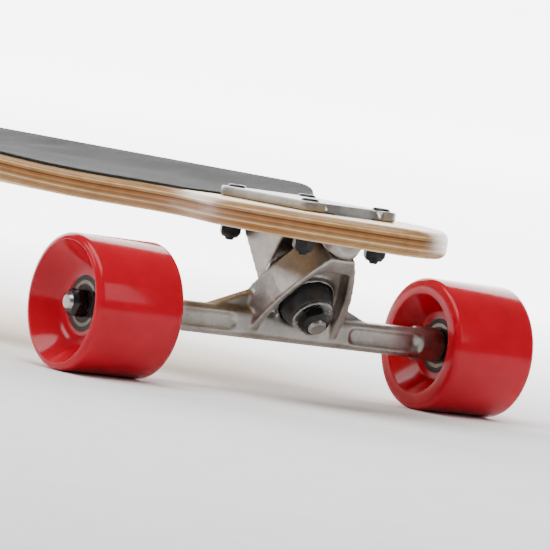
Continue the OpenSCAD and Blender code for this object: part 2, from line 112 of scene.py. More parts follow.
# %% [markdown]
# ## Building finishes
#
# Every finish is a node tree on Object coordinates, so its grain keeps its true size and stays put
# on the part. A small helper adds nodes and links, which keeps each finish short to read.

# %% Node helpers
class Finish:
    """A material with one Principled shader and short calls for its pattern nodes."""

    def __init__(self, name, **sockets):
        self.material = bpy.data.materials.new(name)
        self.material.use_nodes = True
        self.tree = self.material.node_tree
        self.shader = self.tree.nodes["Principled BSDF"]
        self.place = self.tree.nodes.new("ShaderNodeTexCoord").outputs["Object"]
        for socket, value in sockets.items():
            self.shader.inputs[socket.replace("_", " ")].default_value = value

    def node(self, kind, **links):
        made = self.tree.nodes.new(kind)
        for socket, value in links.items():
            self.feed(value, made.inputs[socket.replace("_", " ")])
        return made

    def feed(self, value, socket):
        if isinstance(value, bpy.types.NodeSocket):
            self.tree.links.new(value, socket)
        else:
            socket.default_value = value

    def stretched(self, scale):
        mapping = self.node("ShaderNodeMapping", Vector=self.place)
        mapping.inputs["Scale"].default_value = scale
        return mapping.outputs["Vector"]

    def noise(self, scale, detail=4.0, roughness=0.55, vector=None):
        made = self.node("ShaderNodeTexNoise", Vector=vector or self.place)
        made.inputs["Scale"].default_value = scale
        made.inputs["Detail"].default_value = detail
        made.inputs["Roughness"].default_value = roughness
        return made.outputs["Fac"]

    def ramp(self, factor, stops, smooth=True):
        made = self.node("ShaderNodeValToRGB", Fac=factor)
        ramp = made.color_ramp
        ramp.interpolation = "LINEAR" if smooth else "CONSTANT"
        while len(ramp.elements) < len(stops):
            ramp.elements.new(1.0)
        for element, (at, colour) in zip(ramp.elements, stops):
            element.position = at
            element.color = (*colour, 1.0)
        return made.outputs["Color"]

    def spread(self, factor, low, high, start=0.3, end=0.7):
        made = self.node("ShaderNodeMapRange", Value=factor)
        made.inputs["From Min"].default_value = start
        made.inputs["From Max"].default_value = end
        made.inputs["To Min"].default_value = low
        made.inputs["To Max"].default_value = high
        return made.outputs["Result"]

    def multiply(self, colour, other, strength=1.0):
        made = self.tree.nodes.new("ShaderNodeMix")
        made.data_type = "RGBA"
        made.blend_type = "MULTIPLY"
        made.inputs[0].default_value = strength
        self.feed(colour, made.inputs[6])
        self.feed(other, made.inputs[7])
        return made.outputs[2]

    def bump(self, height, distance, strength=1.0, below=None):
        made = self.node("ShaderNodeBump", Height=height)
        made.inputs["Strength"].default_value = strength
        made.inputs["Distance"].default_value = distance
        if below is not None:
            self.feed(below, made.inputs["Normal"])
        return made.outputs["Normal"]

    def finish(self, colour=None, roughness=None, normal=None):
        for socket, value in (("Base Color", colour), ("Roughness", roughness), ("Normal", normal)):
            if value is not None:
                self.feed(value, self.shader.inputs[socket])
        return self.material


# %% [markdown]
# ## Wood
#
# The deck is a pressed stack of wood veneers. From the side the layers read as bands, pale veneer
# outside and darker layers within. The bands follow the deck's own thickness, so
# they are read from a "depth" value that the mesh stores: 0 on top and 1 underneath. Fibres are long
# and thin, so the grain noise is stretched along the board.

# %% Laminated wood
PALE = (0.74, 0.55, 0.30)
TAN = (0.43, 0.225, 0.070)
AMBER = (0.31, 0.125, 0.027)
BROWN = (0.135, 0.040, 0.010)


def laminated_wood():
    wood = Finish("laminated_wood", Coat_Weight=0.25, Coat_Roughness=0.22, Specular_IOR_Level=0.45)
    depth = wood.node("ShaderNodeAttribute")
    depth.attribute_name = "depth"
    layers = wood.ramp(
        depth.outputs["Fac"],
        [
            (0.00, PALE), (0.05, TAN), (0.11, AMBER), (0.13, TAN), (0.21, PALE), (0.25, TAN),
            (0.34, BROWN), (0.40, AMBER), (0.47, TAN), (0.53, AMBER), (0.62, TAN), (0.67, PALE),
            (0.72, TAN), (0.80, AMBER), (0.83, TAN), (0.93, PALE),
        ],
        smooth=False,
    )
    fibre = wood.noise(260.0, 5.0, vector=wood.stretched((0.06, 1.0, 1.0)))
    cloud = wood.noise(9.0, 3.0, vector=wood.stretched((0.35, 1.0, 1.0)))
    grain = wood.ramp(fibre, [(0.32, (0.70, 0.62, 0.52)), (0.62, (1.0, 1.0, 1.0))])
    shade = wood.ramp(cloud, [(0.30, (0.86, 0.82, 0.76)), (0.70, (1.0, 1.0, 1.0))])
    colour = wood.multiply(wood.multiply(layers, grain, 0.75), shade, 0.8)
    pores = wood.noise(900.0, 3.0, vector=wood.stretched((0.1, 1.0, 1.0)))
    return wood.finish(colour, wood.spread(fibre, 0.30, 0.48), wood.bump(pores, 0.00006, 0.5))


# %% [markdown]
# ## Grip
#
# Grip tape is crushed grit glued to a sheet. A Voronoi pattern with cells about 0.4 mm wide gives
# the grains their facets, and a coarser noise gives the faint patches that a foot leaves.

# %% Grip
def grit():
    tape = Finish("grit", Specular_IOR_Level=0.35)
    grains = tape.node("ShaderNodeTexVoronoi", Vector=tape.place, Scale=2600.0)
    patches = tape.noise(30.0, 5.0)
    grain_tones = [(0.1, (0.046, 0.044, 0.042)), (0.7, (0.012, 0.0115, 0.011))]
    speck = tape.ramp(grains.outputs["Distance"], grain_tones)
    worn = tape.ramp(patches, [(0.3, (0.8, 0.8, 0.8)), (0.7, (1.15, 1.14, 1.12))])
    height = tape.bump(grains.outputs["Distance"], 0.0003, 0.7)
    return tape.finish(tape.multiply(speck, worn), tape.spread(patches, 0.72, 0.9), height)


# %% [markdown]
# ## Metals
#
# The hanger and baseplate are raw castings, tumbled until their edges are soft. They are neither
# mirror nor paint, so the metal is fairly rough, with a fine sand texture and broad dull stains.
# Turned steel carries zinc, and the nuts and bolts are blackened.

# %% Cast and plated metal
def cast_metal():
    cast = Finish("tumbled_casting", Metallic=1.0)
    sand = cast.noise(1500.0, 6.0, 0.6)
    stain = cast.noise(60.0, 6.0, 0.65)
    colour = cast.ramp(
        stain, [(0.28, (0.27, 0.245, 0.22)), (0.52, (0.42, 0.395, 0.37)), (0.78, (0.56, 0.54, 0.515))]
    )
    speck = cast.ramp(sand, [(0.30, (0.78, 0.77, 0.76)), (0.60, (1.0, 1.0, 1.0))])
    coarse = cast.bump(cast.noise(260.0, 4.0), 0.0003, 0.30)
    fine = cast.bump(sand, 0.0001, 0.5, coarse)
    return cast.finish(cast.multiply(colour, speck), cast.spread(stain, 0.28, 0.46), fine)


def plain_metal(name, dark, light, rough, metallic, scale=700.0):
    metal = Finish(name, Metallic=metallic, Specular_IOR_Level=0.5)
    brush = metal.noise(scale, 5.0, 0.6)
    film = metal.noise(120.0, 4.0)
    colour = metal.ramp(film, [(0.3, dark), (0.7, light)])
    return metal.finish(colour, metal.spread(film, *rough), metal.bump(brush, 0.00004, 0.4))


# %% [markdown]
# ## Urethane and plastic
#
# Poured urethane is glossy all through, and its mould leaves faint swirls in the colour. A thin clear
# coat gives the sharp highlights, and a fine noise in the roughness breaks them up a little, as dust
# and scuffs do.

# %% Urethane
def red_urethane():
    pour = Finish("red_urethane", Coat_Weight=0.08, Coat_Roughness=0.03, Specular_IOR_Level=0.22)
    swirl = pour.noise(45.0, 3.0)
    scuff = pour.noise(420.0, 6.0, 0.7)
    colour = pour.ramp(swirl, [(0.30, (0.43, 0.0003, 0.010)), (0.70, (0.52, 0.0007, 0.015))])
    return pour.finish(colour, pour.spread(scuff, 0.10, 0.20), pour.bump(scuff, 0.00001, 0.10))


def black_rubber(name, rough, grain):
    rubber = Finish(name, Specular_IOR_Level=0.5)
    skin = rubber.noise(grain, 5.0)
    colour = rubber.ramp(skin, [(0.3, (0.011, 0.011, 0.012)), (0.7, (0.024, 0.024, 0.026))])
    return rubber.finish(colour, rubber.spread(skin, *rough), rubber.bump(skin, 0.00005, 0.4))


FINISHES = {
    "maple_ply": laminated_wood(),
    "grip": grit(),
    "cast_aluminium": cast_metal(),
    "bright_steel": plain_metal(
        "zinc_plate", (0.27, 0.27, 0.265), (0.44, 0.44, 0.43), (0.22, 0.36), 1.0
    ),
    "black_steel": plain_metal(
        "black_oxide", (0.004, 0.004, 0.0042), (0.012, 0.0118, 0.012), (0.24, 0.38), 0.35
    ),
    "red_urethane": red_urethane(),
    "black_urethane": black_rubber("black_urethane", (0.30, 0.44), 300.0),
    "black_plastic": black_rubber("black_plastic", (0.42, 0.58), 900.0),
}
print("finishes:", ", ".join(FINISHES))

# %% [markdown]
# Bearing rings are hard chrome steel under a film of oil, which leaves them darker and browner than
# the zinc beside them. They share a slot with it in the record, so they get their finish by name.

# %% Give every CAD node its finish
bearing_steel = plain_metal(
    "oiled_bearing_steel", (0.085, 0.070, 0.055), (0.20, 0.17, 0.14), (0.20, 0.34), 1.0
)
slot_of = {part["node"]: part["material_slot"] for part in frame["record"]["subparts"]}
for node, shown in frame["nodes"].items():
    shown.data.materials.clear()
    ring_of_bearing = node.endswith(("outer_rings", "inner_rings"))
    shown.data.materials.append(bearing_steel if ring_of_bearing else FINISHES[slot_of[node]])
print("dressed nodes:", len(frame["nodes"]))

# %% [markdown]
# ## The deck
#
# A deck is cut from a pressed blank, and its edge is rounded with a router. The outline follows a
# rule, so the mesh is made from it: rings of points walk round the outline and curl over the edge,
# and a triangulation fills the top and bottom round the truck openings and the bolt holes. A bevel
# on the CAD solid would be shorter, but long thin triangles tend to shade badly on a curve.

# %% Outline of the deck
taper_start = -185 * MM
waist_at = -45 * MM
nose_at = 8 * MM
waist_half = 47 * MM
nose_half = 56 * MM
nose_power, nose_round = 1.7, 0.6
flat_half = 57 * MM
nose_reach = half_length - half_base


def smooth(f):
    f = min(1.0, max(0.0, f))
    return f * f * (3 - 2 * f)


def deck_half(u):
    """Half width of the deck at distance u past a truck's centre."""
    if u < waist_at:
        f = smooth((u - taper_start) / (waist_at - taper_start))
        return half_width + (waist_half - half_width) * f
    if u < nose_at:
        return waist_half + (nose_half - waist_half) * smooth((u - waist_at) / (nose_at - waist_at))
    f = min(1.0, (u - nose_at) / (nose_reach - nose_at))
    return nose_half * (1 - f**nose_power) ** nose_round


def rise(y):
    """How far the concave lifts the deck at distance y from its middle."""
    f = max(0.0, abs(y) - flat_half) / (half_width - flat_half)
    return rail_rise * f * f


def outline(count=110):
    """Points round the deck, anticlockwise from the nose tip."""
    quarter = []
    for i in range(count + 1):
        f = i / count
        if f < 0.5:
            u = nose_at + (nose_reach - nose_at) * math.cos(math.pi * f)
        else:
            u = nose_at + (taper_start - nose_at) * (2 * f - 1)
        quarter.append((half_base + u, deck_half(u)))
    back = [(-x, y) for x, y in reversed(quarter)]
    upper = quarter + back
    lower = [(x, -y) for x, y in reversed(upper)][1:-1]
    return np.array(upper + lower)


deck_ring = outline()
print("outline points:", len(deck_ring), "tip", deck_ring[0].round(4))


# %% Inset and fill
def inset(ring, distance):
    """A ring moved inwards by a distance, square to its own run."""
    ahead = np.roll(ring, -1, axis=0) - np.roll(ring, 1, axis=0)
    ahead /= np.linalg.norm(ahead, axis=1)[:, None]
    return ring + np.stack([-ahead[:, 1], ahead[:, 0]], axis=1) * distance


def circle(x, y, radius, count=20):
    turns = [2 * math.pi * i / count for i in range(count)]
    return np.array([(x + radius * math.cos(t), y + radius * math.sin(t)) for t in turns])


opening_ends = (-36.8 * MM, 40.6 * MM)
opening_half, opening_corner = 15.6 * MM, 1.5 * MM


def opening(end):
    """The slot that a truck drops through, a little wider than the body in it."""
    sign, half, corner = ENDS[end], opening_half, opening_corner
    low, high = opening_ends
    points = []
    for cx, cy, start in (
        (high - corner, half - corner, 0), (low + corner, half - corner, 90),
        (low + corner, -half + corner, 180), (high - corner, -half + corner, 270),
    ):
        for step in range(5):
            turn = math.radians(start + 22.5 * step)
            points.append((cx + corner * math.cos(turn), cy + corner * math.sin(turn)))
    return np.array([(sign * (half_base + x), sign * y) for x, y in points])


def inside(point, ring):
    x, y = point
    hit = False
    for (x0, y0), (x1, y1) in zip(ring, np.roll(ring, -1, axis=0)):
        if (y0 > y) != (y1 > y) and x < (x1 - x0) * (y - y0) / (y1 - y0) + x0:
            hit = not hit
    return hit


def filled(rim, holes, pitch):
    """Triangles between a rim and its holes, with a grid of points in between."""
    loops = [rim, *holes]
    points, edges = [], []
    for loop in loops:
        first = len(points)
        points += [Vector(p) for p in loop]
        edges += [(first + i, first + (i + 1) % len(loop)) for i in range(len(loop))]
    keep = inset(rim, pitch * 0.6)
    for x in np.arange(rim[:, 0].min(), rim[:, 0].max(), pitch):
        for y in np.arange(rim[:, 1].min(), rim[:, 1].max(), pitch):
            near_hole = any(np.hypot(*(hole - (x, y)).T).min() < pitch * 0.5 for hole in holes)
            if inside((x, y), keep) and not near_hole:
                points.append(Vector((x, y)))
    flat, _, faces, *_ = delaunay_2d_cdt(points, edges, [], 0, 1e-7)
    kept = []
    for face in faces:
        middle = sum((flat[i] for i in face), Vector((0, 0))) / 3
        if inside(middle, rim) and not any(inside(middle, hole) for hole in holes):
            kept.append(tuple(face))
    return [tuple(p) for p in flat], kept


# %% Deck mesh
edge_radius = 4.2 * MM
bolt_hole = 2.75 * MM
bolt_half = (31.75 * MM, 20.65 * MM)


def bolt_places(end):
    sign = ENDS[end]
    return [
        (sign * half_base + sx * bolt_half[0], sy * bolt_half[1]) for sx in (-1, 1) for sy in (-1, 1)
    ]


def sheet_solid(name, ring, holes, low, high, radius, pitch, finish):
    """A solid that follows the concave between two depths, with round upper and lower edges."""
    steps = [(0.0, 1.0)] if radius == 0 else [
        (1 - math.cos(a), math.sin(a)) for a in np.linspace(math.pi / 2, 0, 6)
    ]
    work = bmesh.new()
    depth = work.verts.layers.float.new("depth")
    span = max(high - low, 1e-6)

    def vertex(x, y, z):
        made = work.verts.new((x, y, deck_top + rise(y) + z))
        made[depth] = (high - z) / span
        return made

    rim = inset(ring, radius)
    flat, faces = filled(rim, holes, pitch)
    caps = []
    for level, flip in ((high, False), (low, True)):
        cap = [vertex(x, y, level) for x, y in flat]
        caps.append(cap)
        for face in faces:
            corners = [cap[i] for i in face]
            area = sum(
                flat[a][0] * flat[b][1] - flat[b][0] * flat[a][1]
                for a, b in zip(face, face[1:] + face[:1])
            )
            if (area < 0) != flip:
                corners.reverse()
            work.faces.new(corners)
    rows = [caps[0][: len(ring)]]
    for sign, order in ((1, steps[1:]), (-1, list(reversed(steps[1:])))):
        for inward, up in order:
            level = high - radius + radius * up if sign > 0 else low + radius - radius * up
            place = inset(ring, radius * inward)
            rows.append([vertex(x, y, level) for x, y in place])
    rows.append(caps[1][: len(ring)])
    for upper, lower in zip(rows, rows[1:]):
        for i in range(len(ring)):
            j = (i + 1) % len(ring)
            work.faces.new((upper[i], lower[i], lower[j], upper[j]))
    first = len(ring)
    for hole in holes:
        for i in range(len(hole)):
            a, b = first + i, first + (i + 1) % len(hole)
            work.faces.new((caps[0][a], caps[0][b], caps[1][b], caps[1][a]))
        first += len(hole)
    bmesh.ops.recalc_face_normals(work, faces=work.faces)
    return as_piece(work, name, finish, 40)


def as_piece(work, name, finish, sharp_angle=35):
    """Closes a bmesh and links it as an object that keeps its place in its mesh."""
    loose = [edge for edge in work.edges if not edge.link_faces]
    bmesh.ops.delete(work, geom=loose, context="EDGES")
    if work.calc_volume(signed=True) < 0:
        bmesh.ops.reverse_faces(work, faces=work.faces)
    open_edges = sum(1 for edge in work.edges if not edge.is_manifold)
    mesh = bpy.data.meshes.new(name)
    work.to_mesh(mesh)
    work.free()
    mesh.materials.append(finish)
    mesh.shade_smooth()
    mesh.set_sharp_from_angle(angle=math.radians(sharp_angle))
    piece = bpy.data.objects.new(name, mesh)
    bpy.context.collection.objects.link(piece)
    triangles = sum(len(face.vertices) - 2 for face in mesh.polygons)
    print(f"{name}: {triangles} triangles, {open_edges} open edges")
    return piece


holes = [opening(end) for end in ENDS]
holes += [circle(x, y, bolt_hole) for end in ENDS for x, y in bolt_places(end)]
deck_piece = sheet_solid(
    "laminated_deck", deck_ring, holes, -deck_thick, 0.0, edge_radius, 14 * MM, FINISHES["maple_ply"]
)
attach(deck_piece, "board")
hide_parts("deck")

# %% [markdown]
# ## The grip tape
#
# The sheet is laid over the deck and trimmed with a blade just inside its edge, so its cut side
# shows as a thin dark line. It ends square, short of each truck. The same solid builder makes it,
# from a shorter outline and with no rounding.

# %% Grip sheet
grip_stop = -(half_base - grip_high.x)
grip_margin = half_width - grip_high.y
grip_corner = 6 * MM
grip_thick = (grip_high.z - rise(grip_high.y)) - deck_top


def grip_outline(count=44):
    us = [taper_start + (grip_stop - grip_corner - taper_start) * i / count for i in range(count + 1)]
    quarter = [(half_base + u, deck_half(u) - grip_margin) for u in us]
    end_half = deck_half(grip_stop) - grip_margin
    for turn in (30, 60, 90):
        bend = math.radians(turn)
        x = half_base + grip_stop - grip_corner + grip_corner * math.sin(bend)
        quarter.append((x, end_half - grip_corner + grip_corner * math.cos(bend)))
    quarter.reverse()
    upper = quarter + [(-x, y) for x, y in reversed(quarter)]
    return np.array(upper + [(x, -y) for x, y in reversed(upper)])


grip_piece = sheet_solid(
    "grip_sheet", grip_outline(), [], 0.00005, grip_thick, 0.0, 14 * MM, FINISHES["grip"]
)
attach(grip_piece, "board")
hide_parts("grip_tape")

# %% [markdown]
# ## The castings
#
# Hanger and baseplate are cast in sand or in a die and then tumbled, so no edge stays sharp. The CAD
# solid has crisp edges. A voxel remesh turns a copy into even faces, and a few smoothing passes pull
# in the edges, as tumbling does. A bevel would have
# to follow every cut between curved faces, where it often fails.

# %% Soften a copy of a casting
def softened(node, name, voxel=0.8 * MM, passes=5):
    work = bmesh.new()
    work.from_mesh(frame["nodes"][node].data)
    bmesh.ops.remove_doubles(work, verts=work.verts, dist=2e-6)
    mesh = bpy.data.meshes.new(name)
    work.to_mesh(mesh)
    work.free()
    source = bpy.data.objects.new(name + "_source", mesh)
    bpy.context.collection.objects.link(source)
    remesh = source.modifiers.new("even faces", "REMESH")
    remesh.mode = "VOXEL"
    remesh.voxel_size = voxel
    tumble = source.modifiers.new("tumbled edges", "SMOOTH")
    tumble.factor = 0.5
    tumble.iterations = passes
    thin = source.modifiers.new("fewer faces", "DECIMATE")
    thin.ratio = 0.45
    graph = bpy.context.evaluated_depsgraph_get()
    soft = bpy.data.meshes.new_from_object(source.evaluated_get(graph))
    bpy.data.objects.remove(source)
    work = bmesh.new()
    work.from_mesh(soft)
    return as_piece(work, name, FINISHES["cast_aluminium"], 60)


for end in ENDS:
    for node, body in (("hanger", end + "_hanger_set"), ("baseplate", "board")):
        casting = softened(f"{end}_{node}", f"{end}_{node}_casting")
        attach(casting, body)
        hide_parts(f"{end}_{node}")

# %% [markdown]
# ## Turned parts
#
# Wheels, bushings, washers and pins are all a profile swept round an axis. One Geometry Nodes tree
# makes them: the profile arrives as a loop of edges, a value on each corner says how far it is
# rounded, and the loop is swept round a circle. Screw and Spin could do it too, but they can't
# round each corner by its own amount.

# %% Tree that turns a profile
def turned_tree():
    tree = bpy.data.node_groups.new("turned part", "GeometryNodeTree")
    face = tree.interface
    face.new_socket("Profile", in_out="INPUT", socket_type="NodeSocketGeometry")
    face.new_socket("Sides", in_out="INPUT", socket_type="NodeSocketInt")
    face.new_socket("Ring radius", in_out="INPUT", socket_type="NodeSocketFloat")
    face.new_socket("Finish", in_out="INPUT", socket_type="NodeSocketMaterial")
    face.new_socket("Solid", in_out="OUTPUT", socket_type="NodeSocketGeometry")
    add, link = tree.nodes.new, tree.links.new
    given, result = add("NodeGroupInput"), add("NodeGroupOutput")
    loop = add("GeometryNodeMeshToCurve")
    corner = add("GeometryNodeInputNamedAttribute")
    corner.data_type = "FLOAT"
    corner.inputs["Name"].default_value = "corner"
    rounded = add("GeometryNodeFilletCurve")
    rounded.mode = "POLY"
    rounded.inputs["Count"].default_value = 5
    rounded.inputs["Limit Radius"].default_value = True
    path = add("GeometryNodeCurvePrimitiveCircle")
    sweep = add("GeometryNodeCurveToMesh")
    merged = add("GeometryNodeMergeByDistance")
    merged.inputs["Distance"].default_value = 2e-6
    real = add("GeometryNodeRealizeInstances")
    finish = add("GeometryNodeSetMaterial")
    link(given.outputs["Profile"], loop.inputs["Mesh"])
    link(loop.outputs["Curve"], rounded.inputs["Curve"])
    link(corner.outputs["Attribute"], rounded.inputs["Radius"])
    link(given.outputs["Sides"], path.inputs["Resolution"])
    link(given.outputs["Ring radius"], path.inputs["Radius"])
    link(path.outputs["Curve"], sweep.inputs["Curve"])
    link(rounded.outputs["Curve"], sweep.inputs["Profile Curve"])
    link(sweep.outputs["Mesh"], merged.inputs["Geometry"])
    link(merged.outputs["Geometry"], real.inputs["Geometry"])
    link(real.outputs["Geometry"], finish.inputs["Geometry"])
    link(given.outputs["Finish"], finish.inputs["Material"])
    link(finish.outputs["Geometry"], result.inputs["Solid"])
    return tree


def run_tree(tree, mesh, values):
    """Runs a tree on a mesh and returns the plain mesh that comes out."""
    holder = bpy.data.objects.new("holder", mesh)
    bpy.context.collection.objects.link(holder)
    step = holder.modifiers.new("build", "NODES")
    step.node_group = tree
    for item in tree.interface.items_tree:
        if item.in_out == "INPUT" and item.name in values:
            step[item.identifier] = values[item.name]
    graph = bpy.context.evaluated_depsgraph_get()
    made = bpy.data.meshes.new_from_object(holder.evaluated_get(graph))
    bpy.data.objects.remove(holder)
    return made


TURNED = turned_tree()


def lathe(profile, sides, finish):
    """A solid round +Z from (along, radius, corner) points, as a bmesh."""
    ring = max(radius for _, radius, _ in profile)
    mesh = bpy.data.meshes.new("profile")
    count = len(profile)
    mesh.from_pydata(
        [(radius - ring, -along, 0) for along, radius, _ in profile],
        [(i, (i + 1) % count) for i in range(count)],
        [],
    )
    corner = mesh.attributes.new("corner", "FLOAT", "POINT")
    corner.data.foreach_set("value", [size for _, _, size in profile])
    made = run_tree(TURNED, mesh, {"Sides": sides, "Ring radius": ring, "Finish": finish})
    work = bmesh.new()
    work.from_mesh(made)
    return work


def facing(origin, axis):
    """The move that takes +Z at the origin to an axis through a point."""
    turn = Vector((0, 0, 1)).rotation_difference(Vector(axis))
    return Matrix.Translation(origin) @ turn.to_matrix().to_4x4()


def fit(works, places, name, body, slot, nodes, sharp_angle=35):
    """Moves turned solids to their places, joins them and rides them on a body."""
    joined = bmesh.new()
    for work, place in zip(works, places):
        work.transform(place)
        mesh = bpy.data.meshes.new("part")
        work.to_mesh(mesh)
        work.free()
        joined.from_mesh(mesh)
    piece = as_piece(joined, name, FINISHES[slot], sharp_angle)
    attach(piece, body)
    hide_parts(*nodes)
    return piece


# %% [markdown]
# ## Wheels
#
# A wheel is poured round a hard core. Its tread is flat and its edges are rounded. The two faces
# differ: a wide bowl curves in to the bearing outside, and a flat ring with a cone in it faces the
# truck. The outer sizes come from the CAD wheel's box, and the seat of the bearing from its core.

# %% Wheels
recess_radius, recess_floor = 24.5 * MM, 17 * MM
bowl_radius, bowl_floor = 29 * MM, 15 * MM
bowl_steps = 10


def wheel_profile(half, core_half, tread, seat, outwards):
    """Profile of a wheel whose outer face looks along outwards, +1 or -1."""
    inner = [
        (-core_half, seat, 0.0), (-core_half, recess_floor, 1.2 * MM),
        (-half, recess_radius, 1.0 * MM), (-half, tread, 3.0 * MM), (half, tread, 3.0 * MM),
    ]
    bowl = []
    for step in range(bowl_steps + 1):
        f = step / bowl_steps
        along = half + (core_half - half) * math.sin(math.pi / 2 * f)
        bowl.append((along, bowl_radius + (bowl_floor - bowl_radius) * f, 0.0))
    points = inner + bowl + [(core_half, seat, 0.0)]
    return [(outwards * along, radius, corner) for along, radius, corner in points]


for end in ENDS:
    for side in SIDES:
        node = f"{end}_{side}_wheel"
        low, high = (Vector(corner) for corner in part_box(node))
        core_low, core_high = (Vector(corner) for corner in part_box(node + "_core"))
        middle = (low + high) / 2
        half, core_half = (high.y - low.y) / 2, (core_high.y - core_low.y) / 2
        tread = (high.z - low.z) / 2
        seat = (core_high.z - core_low.z) / 2
        profile = wheel_profile(half, core_half, tread, seat, SIDES[side])
        wheel = lathe(profile, 128, FINISHES["red_urethane"])
        fit([wheel], [facing(middle, (0, 1, 0))], node + "_poured",
            f"{end}_{side}_wheel_set", "red_urethane", [node], 30)

# %% [markdown]
# ## Lock nuts
#
# A lock nut is a hexagon with both rims turned to a chamfer and a nylon ring in its crown. The
# hexagon's radius at each turn is capped by a cone near the ends, which is just how the chamfer is
# cut on a real one. The same function serves the kingpin, the axles and the deck bolts.

# %% Nuts
def hex_nut(low, high, flat, bore, crown=0.0, sides=72):
    """A chamfered hexagon nut round +Z, with a rounded collar of height crown."""
    work = bmesh.new()
    turns = [2 * math.pi * i / sides for i in range(sides)]

    def hexagon(turn):
        return flat / 2 / math.cos((turn % (math.pi / 3)) - math.pi / 6)

    chamfer = flat * 0.06
    body_high = high - crown
    corner = flat * 0.53
    levels = [(low, corner), (low + chamfer, flat), (body_high - chamfer, flat), (body_high, corner)]
    if crown > 0:
        levels += [(high - crown * 0.3, flat * 0.42), (high, flat * 0.37)]
    rows = []
    for level, cap in levels:
        reach_at = [(min(hexagon(t), cap), t) for t in turns]
        rows.append([work.verts.new((r * math.cos(t), r * math.sin(t), level)) for r, t in reach_at])
    for level in (high, low):
        rows.append([work.verts.new((bore * math.cos(t), bore * math.sin(t), level)) for t in turns])
    for lower, upper in zip(rows, rows[1:] + rows[:1]):
        for i in range(sides):
            j = (i + 1) % sides
            work.faces.new((lower[i], lower[j], upper[j], upper[i]))
    return work


# %% [markdown]
# ## Kingpin, bushings and washers
#
# The bushings are poured urethane, so their rims are soft. The cupped washer holds the road-side
# bushing, and below it a lock nut closes the stack. The kingpin's end shows its thread, which is a
# row of small ridges cut into the profile.

# %% Kingpin stack
def threaded(start, end_at, radius, pitch=1.2 * MM, cut=0.45 * MM):
    """Ridges along a pin as profile points, from start to end_at."""
    count = max(1, int((end_at - start) / pitch))
    points = []
    for i in range(count):
        base = start + (end_at - start) * i / count
        points += [(base, radius - cut, 0.0), (base + pitch * 0.45, radius, 0.0)]
    return points


bush_rim, bush_taper = 1.6 * MM, 2.5 * MM
washer_bore, pin, head_height, thread_run = 5 * MM, 4.7 * MM, 7 * MM, 10 * MM

for end in ENDS:
    ring, way, _ = truck_axes(end)
    place = facing(ring, way)

    def span(name):
        return reach(f"{end}_{name}", ring, way)

    for name, taper in (("boardside_bushing", 0.0), ("roadside_bushing", bush_taper)):
        low, high, radius = span(name)
        narrow = radius - taper
        bore = span("kingpin_nut")[2] * 0.6
        bush = lathe([
            (low, bore, 0.3 * MM), (low, radius, bush_rim), ((low + high) / 2, radius, 2 * MM),
            (high, narrow, bush_rim), (high, bore, 0.3 * MM),
        ], 72, FINISHES["black_urethane"])
        fit([bush], [place], f"{end}_{name}_poured", "board", "black_urethane", [f"{end}_{name}"])

    low, high, radius = span("roadside_washer")
    pin_low, pin_high, head_radius = span("kingpin")
    thread_start = pin_high - thread_run
    ridge = threaded(thread_start, pin_high - 1.0 * MM, pin, 1.1 * MM)
    stem = lathe([
        (pin_low + 0.5 * MM, 0.0, 0.0), (pin_low + 0.5 * MM, pin, 0.0), (thread_start, pin, 0.0), *ridge,
        (pin_high, pin - 0.9 * MM, 0.5 * MM), (pin_high, 0.0, 0.0),
    ], 56, FINISHES["bright_steel"])
    head = hex_nut(pin_low, pin_low + head_height, 2 * head_radius * math.cos(math.pi / 6), pin)
    fit([stem, head], [place, place.copy()], end + "_kingpin_turned", "board", "bright_steel",
        [end + "_kingpin"], 30)

    cup = lathe([
        (low, washer_bore, 0.2 * MM), (low, radius, 0.6 * MM), (high, radius - 0.5 * MM, 0.6 * MM),
        (high, washer_bore, 0.2 * MM),
    ], 72, FINISHES["bright_steel"])
    fit([cup], [place], f"{end}_roadside_washer_pressed", "board", "bright_steel",
        [f"{end}_roadside_washer"])

# %% Kingpin lock nuts
kingpin_nut_bore, kingpin_nut_crown = 4.8 * MM, 1.6 * MM

for end in ENDS:
    ring, way, _ = truck_axes(end)
    low, high, radius = reach(f"{end}_kingpin_nut", ring, way)
    flat = 2 * radius * math.cos(math.pi / 6)
    nut = hex_nut(low, high, flat, kingpin_nut_bore, kingpin_nut_crown)
    fit([nut], [facing(ring, way)], f"{end}_kingpin_lock_nut", "board", "black_steel",
        [f"{end}_kingpin_nut"], 25)

# %% [markdown]
# ## Deck bolts and their nuts
#
# Four bolts hold each truck. They are the same part at four places, so a Geometry Nodes tree puts
# one bolt on each point of the pattern and makes the copies real. A loop would do as well for four,
# but the tree keeps the pattern and the part apart, so that either can change.

